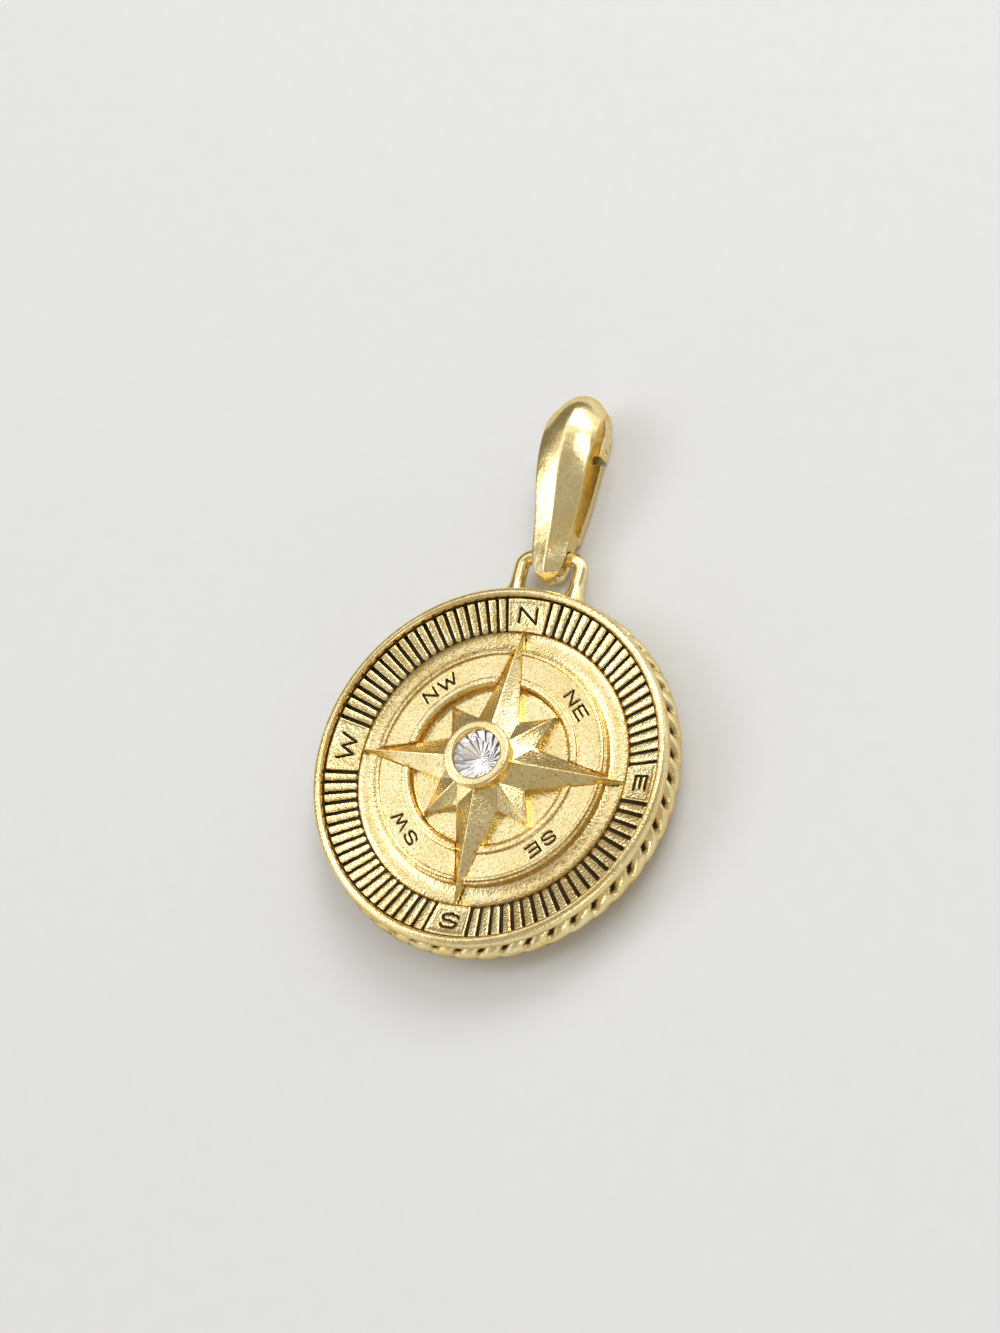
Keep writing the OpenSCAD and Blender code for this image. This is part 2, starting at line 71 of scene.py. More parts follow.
# Bearing and half width in degrees of the plaques of the four main letters
PLAQUES = ((0.2, 8), (89.6, 7.3), (180.1, 7.6), (270.5, 9.8))
PLAQUE_R = 10.7
MAIN_LETTER_R = 10.68
MAIN_STROKE = 0.17
MAIN_SIZES = ((1.4, 1.15), (1.1, 1.0), (1.3, 1.15), (1.95, 1.15))
SMALL_LETTER_R = 6.95
SMALL_STROKE = 0.12
SMALL_WIDTH, SMALL_WIDE, SMALL_HEIGHT = 0.95, 1.35, 0.87
PAIR_GAP = 0.32
PAIRS = (("NE", 47), ("SE", 134), ("SW", 223.7), ("NW", 315))
ROPE_R = 1.1
ROPE_RING_R = MEDAL_R + 0.25 - ROPE_R
ROPE_Z = RIM_UNDER_Z - ROPE_R
ROPE_LOBES = 48
ROPE_STRANDS = 3
ROPE_PHASE = 118
ROPE_GAP = 14.5
BLOCK_ANGLE = 14.2
BAR_Y = 15.65
BAR_Z = 1.35
WIRE_R = 0.5
HINGE_DY = 8.4
HINGE_Y = BAR_Y + HINGE_DY
HINGE_Z = 0.62
PIN_R = 0.25
KNUCKLE_R = 0.55
LONG_R = 9.5
SHORT_R = 5.4
VALLEY_R = 3.4
VALLEY_ANGLE = 25.5
TIP_HALF_W = 0.05
FLANK_POWER = 1.12
HUB_R = 2.0
STONE_R = 1.75
LIP_Z = FACE_Z + 2.05
GIRDLE_Z = LIP_Z - 0.66
GIRDLE_T = 0.06
CROWN_ANGLE = 34


# Mesh helpers

def smoothstep(lo, hi, x):
    """0 up to lo, 1 from hi, and a smooth step between."""
    t = np.clip((np.asarray(x, float) - lo) / (hi - lo), 0, 1)
    return t * t * (3 - 2 * t)


def mesh_from(name, points, quads, ngons=()):
    """A mesh from points in millimetres, an array of quads and a few larger faces."""
    mesh = bpy.data.meshes.new(name)
    points = np.asarray(points, float).reshape(-1, 3) * MM
    quads = np.asarray(quads, np.int32).reshape(-1, 4)
    loops = [quads.ravel()] + [np.asarray(n, np.int32) for n in ngons]
    sizes = np.concatenate([np.full(len(quads), 4, np.int32), np.array([len(n) for n in ngons], np.int32)])
    loops = np.concatenate(loops)
    mesh.vertices.add(len(points))
    mesh.vertices.foreach_set("co", points.ravel())
    mesh.loops.add(len(loops))
    mesh.loops.foreach_set("vertex_index", loops)
    mesh.polygons.add(len(sizes))
    mesh.polygons.foreach_set("loop_start", np.concatenate([[0], np.cumsum(sizes)[:-1]]).astype(np.int32))
    mesh.update(calc_edges=True)
    mesh.validate()
    mesh.shade_smooth()
    return mesh


def grid_mesh(name, grid, wrap_u=False, wrap_v=False, flip=False, cap_first=False, cap_last=False):
    """A mesh over a grid of points, u by v. Caps close the first and last row of v points."""
    grid = np.asarray(grid, float)
    nu, nv = grid.shape[:2]
    iu = np.arange(nu if wrap_u else nu - 1)[:, None]
    iv = np.arange(nv if wrap_v else nv - 1)[None, :]
    ju, jv = (iu + 1) % nu, (iv + 1) % nv
    quads = np.stack(np.broadcast_arrays(iu * nv + iv, ju * nv + iv, ju * nv + jv, iu * nv + jv), -1)
    quads = quads.reshape(-1, 4)
    caps = []
    if cap_first:
        caps.append(np.arange(nv))
    if cap_last:
        caps.append(((nu - 1) * nv + np.arange(nv))[::-1])
    if flip:
        quads = quads[:, ::-1]
        caps = [c[::-1] for c in caps]
    return mesh_from(name, grid, quads, caps)


def linked(name, data):
    """A new object of the mesh, light or camera in the scene."""
    ob = bpy.data.objects.new(name, data)
    bpy.context.scene.collection.objects.link(ob)
    return ob


def piece(name, mesh, node, body, material):
    """A visible piece in place of a node, moving with a body."""
    ob = linked(name, mesh)
    mesh.materials.clear()
    mesh.materials.append(material)
    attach(ob, body)
    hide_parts(node)
    return ob


def apply_modifiers(ob):
    """Replaces the object's mesh by its mesh with the modifiers applied."""
    graph = bpy.context.evaluated_depsgraph_get()
    made = bpy.data.meshes.new_from_object(ob.evaluated_get(graph))
    ob.modifiers.clear()
    ob.data = made


def smooth_by_angle(mesh, degrees):
    """Smooth faces, with a sharp edge where two faces meet at more than the angle."""
    bm = bmesh.new()
    bm.from_mesh(mesh)
    limit = math.radians(degrees)
    for face in bm.faces:
        face.smooth = True
    for edge in bm.edges:
        edge.smooth = len(edge.link_faces) == 2 and edge.calc_face_angle(0) < limit
    bm.to_mesh(mesh)
    bm.free()


def bevel(ob, width, angle):
    """Rounds the edges that turn by more than the angle."""
    mod = ob.modifiers.new("Bevel", "BEVEL")
    mod.width = width * MM
    mod.segments = 3
    mod.limit_method = "ANGLE"
    mod.angle_limit = math.radians(angle)
    apply_modifiers(ob)


def arc(cx, cy, r, a0, a1, n):
    """Points on a circle between two angles in degrees."""
    a = np.radians(np.linspace(a0, a1, n))
    return np.stack([cx + r * np.cos(a), cy + r * np.sin(a)], -1)


def polyline(points, step):
    """Points along straight runs, no further apart than the step."""
    out = [np.asarray(points[0], float)]
    for p, q in zip(points[:-1], points[1:]):
        p, q = np.asarray(p, float), np.asarray(q, float)
        n = max(1, int(math.ceil(np.linalg.norm(q - p) / step)))
        out += [p + (q - p) * i / n for i in range(1, n + 1)]
    return np.array(out)


def round_corners(points, radii, n):
    """A profile with each inner corner replaced by a small arc-like curve."""
    out = [np.asarray(points[0], float)]
    for i in range(1, len(points) - 1):
        a, b, c = (np.asarray(points[k], float) for k in (i - 1, i, i + 1))
        r = radii[i] if hasattr(radii, "__len__") else radii
        if r <= 0:
            out.append(b)
            continue
        da, dc = np.linalg.norm(a - b), np.linalg.norm(c - b)
        k = min(r, 0.49 * da, 0.49 * dc)
        p, q = b + (a - b) / da * k, b + (c - b) / dc * k
        for t in np.linspace(0, 1, n):
            out.append((1 - t) ** 2 * p + 2 * t * (1 - t) * b + t * t * q)
    out.append(np.asarray(points[-1], float))
    return np.array(out)


def turn_profile(profile, bearings):
    """Grid of a profile of radius and height turned about Z, one row for each bearing in degrees."""
    b = np.radians(bearings)[:, None]
    r, z = profile[None, :, 0], profile[None, :, 1]
    return np.stack([r * np.sin(b), r * np.cos(b), np.broadcast_to(z, (len(bearings), len(profile)))], -1)


# Materials

class Nodes:
    """Short names for the nodes of one material."""

    def __init__(self, name):
        self.material = bpy.data.materials.new(name)
        self.material.use_nodes = True
        self.tree = self.material.node_tree
        self.shader = self.tree.nodes["Principled BSDF"]
        coords = self.tree.nodes.new("ShaderNodeTexCoord")
        self.object = coords.outputs["Object"]

    def put(self, socket, value):
        if isinstance(value, bpy.types.NodeSocket):
            self.tree.links.new(value, socket)
        else:
            socket.default_value = value

    def math(self, operation, a, b):
        node = self.tree.nodes.new("ShaderNodeMath")
        node.operation = operation
        for socket, value in zip(node.inputs, (a, b)):
            self.put(socket, value)
        return node.outputs[0]

    def scaled(self, a, b):
        return self.math("MULTIPLY", a, b)

    def ramp(self, value, lo, hi):
        """0 up to lo, 1 from hi, and a smooth step between."""
        node = self.tree.nodes.new("ShaderNodeMapRange")
        node.interpolation_type = "SMOOTHSTEP"
        for key, v in (("Value", value), ("From Min", lo), ("From Max", hi)):
            self.put(node.inputs[key], v)
        return node.outputs[0]

    def noise(self, scale, detail, roughness=0.5):
        node = self.tree.nodes.new("ShaderNodeTexNoise")
        self.put(node.inputs["Vector"], self.object)
        node.inputs["Scale"].default_value = scale
        node.inputs["Detail"].default_value = detail
        node.inputs["Roughness"].default_value = roughness
        return node.outputs["Fac"]

    def cells(self, scale):
        """Distance to the middle of small even cells."""
        node = self.tree.nodes.new("ShaderNodeTexVoronoi")
        self.put(node.inputs["Vector"], self.object)
        node.inputs["Scale"].default_value = scale
        return node.outputs["Distance"]

    def mix(self, factor, a, b):
        node = self.tree.nodes.new("ShaderNodeMix")
        node.data_type = "RGBA"
        colours = [s for s in node.inputs if s.type == "RGBA"]
        self.put(node.inputs[0], factor)
        for socket, value in zip(colours, (a, b)):
            self.put(socket, value)
        return next(s for s in node.outputs if s.type == "RGBA")

    def attribute(self, name):
        node = self.tree.nodes.new("ShaderNodeAttribute")
        node.attribute_name = name
        return node.outputs["Fac"]

    def bump(self, height, strength, distance, normal=None):
        node = self.tree.nodes.new("ShaderNodeBump")
        node.inputs["Strength"].default_value = strength
        node.inputs["Distance"].default_value = distance
        self.put(node.inputs["Height"], height)
        if normal is not None:
            self.put(node.inputs["Normal"], normal)
        return node.outputs["Normal"]


GOLD = (0.92, 0.745, 0.36, 1)
GOLD_DEEP = (0.62, 0.44, 0.16, 1)
GOLD_PALE = (0.98, 0.86, 0.51, 1)
ORANGE = (0.50, 0.31, 0.08, 1)
DARK = (0.012, 0.009, 0.005, 1)
EDGE_TINT = (0.92, 0.74, 0.42, 1)
SAND_SCALE = 6500.0
PAINTED_DARK_FACET = (0.015, 0.012, 0.03, 1)
PAINTED_BRIGHT_FACET = (0.99, 0.99, 1.0, 1)
FACET_PAINTED_GLOW = 0.36


def gold(name, roughness, grain, sand_mix, patina_and_shade=True):
    """Cast yellow gold.

    grain is the depth of the sand texture and sand_mix its share of deeper colour. The last flag turns on
    darkening from the mesh's attribute: black patina in its grooves and letters, and painted shade in its
    creases, corners and seams.
    """
    n = Nodes(name)
    broad = n.noise(330.0, 4.0, 0.55)
    fine = n.noise(2600.0, 3.0, 0.6)
    sand = n.math("ADD", n.scaled(n.cells(SAND_SCALE), 0.6), n.scaled(n.noise(SAND_SCALE, 2.0, 0.6), 0.5))
    pits = n.noise(SAND_SCALE * 0.8, 0.0)
    colour = n.mix(n.ramp(broad, 0.34, 0.66), GOLD, GOLD_PALE)
    tone = n.mix(n.scaled(n.ramp(fine, 0.45, 0.72), 0.3), colour, GOLD_DEEP)
    tone = n.mix(n.scaled(n.ramp(sand, 0.48, 0.72), sand_mix), tone, GOLD_DEEP)
    tone = n.mix(n.scaled(n.ramp(pits, 0.62, 0.72), 1.6 * sand_mix), tone, ORANGE)
    rough = n.math("ADD", n.scaled(broad, 0.12), roughness - 0.06)
    if patina_and_shade:
        # Patina and painted shade from the mesh's attribute, made a little uneven with noise
        darkening = n.math("ADD", n.attribute("patina_and_shade"), n.scaled(n.math("SUBTRACT", fine, 0.5), 0.45))
        cover = n.ramp(darkening, 0.45, 0.62)
        tone = n.mix(n.scaled(n.ramp(darkening, 0.10, 0.42), 0.85), tone, ORANGE)
        tone = n.mix(cover, tone, DARK)
        rough = n.math("ADD", rough, n.scaled(cover, 0.35))
        n.put(n.shader.inputs["Metallic"], n.math("SUBTRACT", 1.0, n.scaled(cover, 0.85)))
    else:
        n.shader.inputs["Metallic"].default_value = 1.0
    n.put(n.shader.inputs["Base Color"], tone)
    n.put(n.shader.inputs["Roughness"], rough)
    n.shader.inputs["Specular Tint"].default_value = EDGE_TINT
    relief = n.bump(broad, 0.35, 0.00025)
    n.put(n.shader.inputs["Normal"], n.bump(sand, grain, 0.00013, relief))
    return n.material


def stone_material():
    """Clear crown over a mirror-like pavilion, each facet of it painted with its own reflection from dark to
    bright, which also glows.
    """
    n = Nodes("clear_stone")
    mirror = n.attribute("mirror")
    tone = n.mix(n.attribute("tone"), PAINTED_DARK_FACET, PAINTED_BRIGHT_FACET)
    n.put(n.shader.inputs["Base Color"], tone)
    n.put(n.shader.inputs["Emission Color"], tone)
    # Painted glow: the pavilion's facets give off light in their painted tone
    n.put(n.shader.inputs["Emission Strength"], n.scaled(mirror, FACET_PAINTED_GLOW))
    n.put(n.shader.inputs["Metallic"], mirror)
    n.put(n.shader.inputs["Roughness"], n.math("ADD", n.scaled(mirror, 0.12), 0.02))
    n.shader.inputs["IOR"].default_value = 1.7
    n.shader.inputs["Transmission Weight"].default_value = 1.0
    n.put(n.shader.inputs["Normal"], n.bump(n.noise(900.0, 2.0), 0.02, 0.00001))
    return n.material


satin = gold("gold_satin", 0.30, 0.35, 0.3, patina_and_shade=False)
polished = gold("gold_polished", 0.19, 0.05, 0.06, patina_and_shade=False)
rim_gold = gold("gold_rim", 0.25, 0.17, 0.16)
relief_gold = gold("gold_relief", 0.22, 0.28, 0.2)
rope_gold = gold("gold_rope", 0.24, 0.12, 0.1)
star_gold = gold("gold_star", 0.24, 0.20, 0.24)
clear = stone_material()


def set_patina_and_shade(mesh, values):
    """How dark each point is, from patina in grooves and letters and painted shade in creases and corners: 0
    bare gold, 1 black.
    """
    data = mesh.attributes.new("patina_and_shade", "FLOAT", "POINT")
    data.data.foreach_set("value", np.clip(np.asarray(values, float).ravel(), 0, 1).astype(np.float32))


# Case

CASE_BEARINGS = np.linspace(0, 360, 540, endpoint=False)


def case_shell():
    """Back, side, rope groove and rim, turned in one."""
    groove_r = ROPE_R + 0.03
    start = -math.degrees(math.acos((FLANGE_R - ROPE_RING_R) / groove_r))
    end = math.degrees(math.asin((RIM_UNDER_Z - ROPE_Z) / groove_r))
    groove = arc(ROPE_RING_R, ROPE_Z, groove_r, 360 + start, end, 25)
    back = polyline([(2.0, 0), (FLANGE_R - 0.3, 0)], 1.0)
    edge = arc(FLANGE_R - 0.3, 0.3, 0.3, -90, 0, 8)
    under = round_corners([groove[-1], (MEDAL_R - 0.14, RIM_UNDER_Z), (MEDAL_R, RIM_UNDER_Z + 0.2),
                           (MEDAL_R, FACE_Z - 0.14)], 0.1, 5)
    a = np.radians(np.linspace(0, 180, 31))
    wide = np.where(a < math.pi / 2, MEDAL_R - RIM_CREST_R, RIM_CREST_R - RIM_INNER_R)
    tall = np.where(a < math.pi / 2, RIM_TOP_Z - FACE_Z + 0.1, 0.3)
    bead = np.column_stack([RIM_CREST_R + wide * np.cos(a), RIM_TOP_Z - tall * (1 - np.sin(a))])
    inner = round_corners([bead[-1], (RIM_INNER_R, FACE_Z - 0.15), (TICK_OUTER_R, FACE_Z - 0.15)], 0.05, 4)
    profile = np.concatenate([back, edge[1:], groove, under[1:], bead, inner[1:]])
    bearings = CASE_BEARINGS
    mesh = grid_mesh("case_shell", turn_profile(profile, bearings), wrap_u=True)
    # Painted shadow in the rope's groove, and a darkened line at the foot of the rim's bead
    deep = np.hypot(profile[:, 0] - ROPE_RING_R, profile[:, 1] - ROPE_Z) < groove_r + 0.02
    line = (profile[:, 0] < RIM_INNER_R + 0.03) & (profile[:, 0] > 11) & (profile[:, 1] > RIM_UNDER_Z)
    fall = smoothstep(FACE_Z + 0.04, FACE_Z - 0.14, profile[:, 1])
    set_patina_and_shade(mesh, np.broadcast_to(0.9 * deep + 0.62 * line * fall, (len(bearings), len(profile))))
    return mesh


def back_plate():
    """The middle of the plain back."""
    grid = turn_profile(np.array([(0.02, 0.0), (1.0, 0.0), (2.0, 0.0)]), CASE_BEARINGS)
    return grid_mesh("back_plate", grid, wrap_u=True)


def groove_bearings():
    """Even bearings of the grooves between each plaque and the next."""
    out = []
    for i, (b, half) in enumerate(PLAQUES):
        nb, nhalf = PLAQUES[(i + 1) % 4]
        stop = nb + (360 if i == 3 else 0) - nhalf
        out += list(np.linspace(b + half, stop, QUARTER_GROOVES))
    return np.array(out)


def letter_strokes(char, width, height):
    """Straight strokes of a letter, centred, in millimetres between the strokes' middles."""
    x, y = width / 2, height / 2
    if char == "N":
        return [((-x, -y), (-x, y)), ((-x, y), (x, -y)), ((x, -y), (x, y))]
    if char == "E":
        return [((-x, -y), (-x, y)), ((-x, y), (x, y)), ((-x, 0), (0.7 * x, 0)), ((-x, -y), (x, -y))]
    if char == "W":
        return [((-x, y), (-x / 2, -y)), ((-x / 2, -y), (0, 0.7 * y)),
                ((0, 0.7 * y), (x / 2, -y)), ((x / 2, -y), (x, y))]
    top = arc(0, y / 2, y / 2, 10, 270, 12)
    bottom = arc(0, -y / 2, y / 2, 90, -170, 12)
    path = np.concatenate([top, bottom[1:]]) * [2 * x / y, 1]
    return [(tuple(p), tuple(q)) for p, q in zip(path[:-1], path[1:])]


def stroke_distance(u, v, strokes):
    """Distance from points to the nearest stroke."""
    best = np.full(u.shape, 1e9)
    for (x0, y0), (x1, y1) in strokes:
        dx, dy = x1 - x0, y1 - y0
        t = np.clip(((u - x0) * dx + (v - y0) * dy) / (dx * dx + dy * dy), 0, 1)
        best = np.minimum(best, np.hypot(u - x0 - t * dx, v - y0 - t * dy))
    return best


def letters_distance(x, y, letters):
    """Distance to the nearest stroke of letters given as (char, bearing, radius, shift, width, height)."""
    best = np.full(x.shape, 1e9)
    for char, bearing, radius, shift, width, height in letters:
        b = math.radians(bearing)
        u = x * math.cos(b) - y * math.sin(b) - shift
        v = x * math.sin(b) + y * math.cos(b) - radius
        near = (np.abs(u) < width) & (np.abs(v) < height)
        if near.any():
            d = stroke_distance(u[near], v[near], letter_strokes(char, width, height))
            best[near] = np.minimum(best[near], d)
    return best


MAIN_LETTERS = [(char, bearing, MAIN_LETTER_R, 0.0, width - MAIN_STROKE, height - MAIN_STROKE)
                for char, (bearing, _), (width, height) in zip("NESW", PLAQUES, MAIN_SIZES)]


def small_letters():
    """The letters of the four pairs, each pair centred on its bearing."""
    out = []
    for pair, bearing in PAIRS:
        widths = [SMALL_WIDE if char == "W" else SMALL_WIDTH for char in pair]
        left = -(widths[0] + PAIR_GAP + widths[1]) / 2
        shifts = (left + widths[0] / 2, left + widths[0] + PAIR_GAP + widths[1] / 2)
        out += [(char, bearing, SMALL_LETTER_R, shift, width - SMALL_STROKE, SMALL_HEIGHT - SMALL_STROKE)
                for char, shift, width in zip(pair, shifts, widths)]
    return out


SMALL_LETTERS = small_letters()


def tick_ring():
    """Sloping ring of round-nosed bars between dark grooves, its plaques, and the sunk channel inside it."""
    rng = np.random.default_rng(7)
    bearings = np.arange(0, 360, 0.2)
    width = TICK_OUTER_R - TICK_INNER_R
    top = round_corners([(TICK_OUTER_R, FACE_Z - 0.15), (TICK_OUTER_R, FACE_Z), (TICK_INNER_R, TICK_INNER_Z),
                         (TICK_INNER_R - 0.03, FLOOR_Z + 0.03), (TICK_INNER_R - 0.3, FLOOR_Z),
                         (PLATEAU_OUTER_R + 0.12, FLOOR_Z), (PLATEAU_OUTER_R + 0.02, FLOOR_Z)],
                        [0, 0.07, 0.05, 0.06, 0.2, 0.1, 0], 5)
    profile = polyline(top, 0.085)
    # The smooth middle of the channel needs only every second point
    ends = (profile[:, 0] > TICK_INNER_R - 0.15) | (profile[:, 0] < PLATEAU_OUTER_R + 0.17)
    profile = profile[ends | (np.arange(len(profile)) % 2 == 0)]
    r = profile[:, 0]
    grid = turn_profile(profile, bearings)
    x, y = grid[..., 0], grid[..., 1]
    # Uneven grooves, as on a casting: a shift of each in degrees and a share of its width
    grooves = groove_bearings()
    grooves = grooves + rng.uniform(-0.12, 0.12, len(grooves))
    halves = rng.uniform(0.90, 1.12, len(grooves))
    gap = (bearings[:, None] - grooves[None, :] + 180) % 360 - 180
    which = np.abs(gap).argmin(1)
    across = np.radians(np.abs(gap).min(1))[:, None] * r[None, :] / halves[which][:, None]
    plaque = np.zeros(len(bearings), bool)
    far = 9.0
    edge_gap = np.full(len(bearings), far)
    for b, half_w in PLAQUES:
        off = np.abs((bearings - b + 180) % 360 - 180)
        plaque |= off < half_w
        edge_gap = np.minimum(edge_gap, np.abs(off - half_w) * np.pi / 180 * PLAQUE_R)
    on_top = r > TICK_INNER_R - 0.02
    # How far a bar's round nose has closed in at this radius
    nose_r = 0.24
    inward = np.clip((TICK_INNER_R + nose_r - r) / nose_r, 0, 1)
    nose = 0.20 * (1 - np.sqrt(1 - np.minimum(inward, 0.98) ** 2))
    nose = np.where(plaque[:, None], 0.25 * nose[None, :], nose[None, :])
    surface = grid[..., 2]
    along = np.clip((TICK_OUTER_R - r) / width, 0, 1)
    bottom = (FACE_Z - GROOVE_DEPTH) * (1 - along) + (FLOOR_Z + 0.02) * along
    share = smoothstep(0.055, 0.155, across - nose)
    bar = 0.05 * np.clip(1 - (across - nose) / 0.34, 0, 1) ** 2 + 0.16 * inward[None, :] ** 3
    high = surface - np.where(plaque[:, None], 0, bar)
    # Distance from the plaque's border, for its sunk panel
    side = np.minimum(np.where(plaque, edge_gap, far)[:, None], TICK_OUTER_R - r[None, :])
    side = np.minimum(side, r[None, :] - TICK_INNER_R)
    panel = 0.07 * smoothstep(0.20, 0.30, side) * plaque[:, None]
    stroke = letters_distance(x, y, MAIN_LETTERS)
    letter = 0.16 * (1 - smoothstep(0.05, 0.12, stroke)) * plaque[:, None]
    height = (high - panel - letter) * share + np.minimum(bottom[None, :], high) * (1 - share)
    height = np.where(on_top[None, :], np.maximum(height, FLOOR_Z), surface)
    floor = ~on_top
    middle = (TICK_INNER_R + PLATEAU_OUTER_R) / 2
    dish = 0.12 * np.clip(1 - ((r - middle) / 0.66) ** 2, 0, 1) * floor
    grid[..., 2] = height - dish[None, :]
    # Darkened grooves, letters and line under the rim, and painted shade at both seams of the channel
    dark = (1 - smoothstep(0.25, 0.85, share)) * on_top
    dark = np.maximum(dark, 0.95 * smoothstep(0.05, 0.11, letter))
    dark = np.maximum(dark, 0.50 * (r[None, :] > TICK_OUTER_R - 0.02) * (surface < FACE_Z - 0.05))
    seam = 0.40 * (1 - smoothstep(0.0, 0.22, np.abs(r - TICK_INNER_R + 0.04)))
    seam = np.maximum(seam, 0.34 * (1 - smoothstep(0.0, 0.16, r - PLATEAU_OUTER_R)))
    dark = np.maximum(dark, seam[None, :])
    # Painted shade over the channel's floor, heaviest towards the north-west and south-east
    darkening = 0.25 * np.cos(np.radians(bearings - 138)) ** 2
    dark = np.maximum(dark, darkening[:, None] * (floor & (r > PLATEAU_OUTER_R + 0.2))[None, :])
    mesh = grid_mesh("tick_ring", grid, wrap_u=True)
    set_patina_and_shade(mesh, dark)
    return mesh


def star_root(half_angle):
    """Distance from the centre and half width of a star point's root."""
    a = math.radians(half_angle)
    return VALLEY_R * math.cos(a), VALLEY_R * math.sin(a)


def flank_half(u, root_w):
    """Half width of a star point at u, from 0 at its root to 1 at its tip."""
    return root_w * (1 - u) ** FLANK_POWER + TIP_HALF_W * u


def letter_band():
    """The raised ring with its two borders and small letters, and the inner floor."""
    bearings = np.arange(0, 360, 0.3)
    top = round_corners([(PLATEAU_OUTER_R + 0.02, FLOOR_Z), (PLATEAU_OUTER_R, PLATEAU_STEP_Z),
                         (PLATEAU_STEP_R, PLATEAU_STEP_Z), (PLATEAU_STEP_R, RING_TOP_Z),
                         (BAND_OUTER_R, RING_TOP_Z), (BAND_OUTER_R - 0.02, BAND_Z),
                         (BAND_INNER_R + 0.02, BAND_Z), (BAND_INNER_R, RING_TOP_Z),
                         (PLATEAU_INNER_R + 0.16, RING_TOP_Z), (PLATEAU_INNER_R, RING_TOP_Z - 0.2),
                         (PLATEAU_INNER_R - 0.06, FLOOR_Z + 0.1), (PLATEAU_INNER_R - 0.3, FLOOR_Z),
                         (WELL_STOP_R, FLOOR_Z)],
                        [0, 0.08, 0.06, 0.08, 0.08, 0.07, 0.07, 0.08, 0.1, 0.08, 0.1, 0.15, 0], 4)
    outer = polyline([p for p in top if p[0] > BAND_OUTER_R - 0.1], 0.25)
    middle = polyline([(BAND_OUTER_R - 0.12, BAND_Z), (BAND_INNER_R + 0.12, BAND_Z)], 0.047)
    inner = polyline([p for p in top if p[0] < BAND_INNER_R + 0.1], 0.25)
    # The flat floor needs few points
    count = np.arange(len(inner))
    inner = inner[(inner[:, 0] > 4.9) | (count == len(inner) - 1) | (count % 6 == 0)]
    profile = np.concatenate([outer, middle, inner])
    r = profile[:, 0]
    grid = turn_profile(profile, bearings)
    x, y, z = grid[..., 0], grid[..., 1], grid[..., 2]
    stroke = letters_distance(x, y, SMALL_LETTERS)
    letter = 0.15 * (1 - smoothstep(0.035, 0.10, stroke))
    # Distance from the flanks of the four long points, which stand in pockets of the band
    along = np.maximum(np.abs(x), np.abs(y))
    aside = np.minimum(np.abs(x), np.abs(y))
    root_y, root_w = star_root(VALLEY_ANGLE)
    outside = aside - flank_half(np.clip((along - root_y) / (LONG_R - root_y), 0, 1), root_w)
    pocket = 1 - smoothstep(0.0, 0.07, outside)
    height = z - letter
    floor = np.minimum(height, FLOOR_Z + 0.25)
    height = np.where(z > FLOOR_Z + 0.2, height * (1 - pocket) + floor * pocket, height)
    grid[..., 2] = height
    dark = 0.85 * smoothstep(0.05, 0.11, letter)
    # Painted shade beside the star's long points, and on the band's outer step, inner wall and the corners at
    # the foot of its borders
    dark = np.maximum(dark, 0.42 * (1 - smoothstep(0.0, 0.16, outside)) * (z > FLOOR_Z + 0.2))
    step = (r > 8.0) & (r < PLATEAU_OUTER_R + 0.04)
    wall = (r < PLATEAU_INNER_R + 0.02) & (r > PLATEAU_INNER_R - 0.3)
    groove = (np.abs(r - BAND_OUTER_R + 0.04) < 0.06) | (np.abs(r - BAND_INNER_R - 0.04) < 0.06)
    dark = np.maximum(dark, (0.30 * step + 0.34 * wall + 0.25 * groove)[None, :])
    mesh = grid_mesh("letter_band", grid, wrap_u=True)
    set_patina_and_shade(mesh, dark)
    return mesh


def tube_mesh(name, path, radii, sides):
    """A round closed tube along a path in a plane of constant height, its radius given at each point."""
    tangent = np.gradient(path, axis=0)
    tangent /= np.linalg.norm(tangent, axis=1)[:, None]
    up = np.array([0.0, 0.0, 1.0])
    side = np.cross(tangent, up)
    a = np.linspace(0, 2 * math.pi, sides, endpoint=False)
    ring = side[:, None, :] * np.cos(a)[None, :, None] + up[None, None, :] * np.sin(a)[None, :, None]
    grid = path[:, None, :] + ring * np.asarray(radii)[:, None, None]
    return grid_mesh(name, grid, wrap_v=True, flip=True, cap_first=True, cap_last=True)


def loop_wire():
    """The loop's wire: flared feet, two bends and the bar."""
    leg_x, bend = 2.2, 0.8
    leg = polyline([(leg_x, 11.5), (leg_x, BAR_Y - bend)], 0.08)
    bend_r = arc(leg_x - bend, BAR_Y - bend, bend, 0, 90, 14)
    bar = polyline([(leg_x - bend, BAR_Y), (bend - leg_x, BAR_Y)], 0.25)
    half = np.concatenate([leg, bend_r[1:]])
    flat = np.concatenate([half, bar[1:-1], half[::-1] * [-1, 1]])
    path = np.column_stack([flat, np.full(len(flat), BAR_Z)])
    flare = 0.46 * (1 - smoothstep(12.0, 14.1, path[:, 1])) ** 1.3
    return tube_mesh("loop_wire", path, WIRE_R + flare, 36)


def loop_block():
    """The solder block that closes the rope's gap at the north edge."""
    outer_r, inner_r, top_z = MEDAL_R - 0.15, 10.6, RIM_UNDER_Z + 0.02
    profile = round_corners([(inner_r, 0.35), (outer_r, 0.3), (outer_r, top_z), (outer_r - 0.45, top_z),
                             (inner_r + 0.8, 2.3), (inner_r, 2.3)], 0.25, 7)
    grid = turn_profile(profile, np.linspace(-BLOCK_ANGLE, BLOCK_ANGLE, 61))
    return grid_mesh("loop_block", grid, cap_first=True, cap_last=True, flip=True)


# Rope

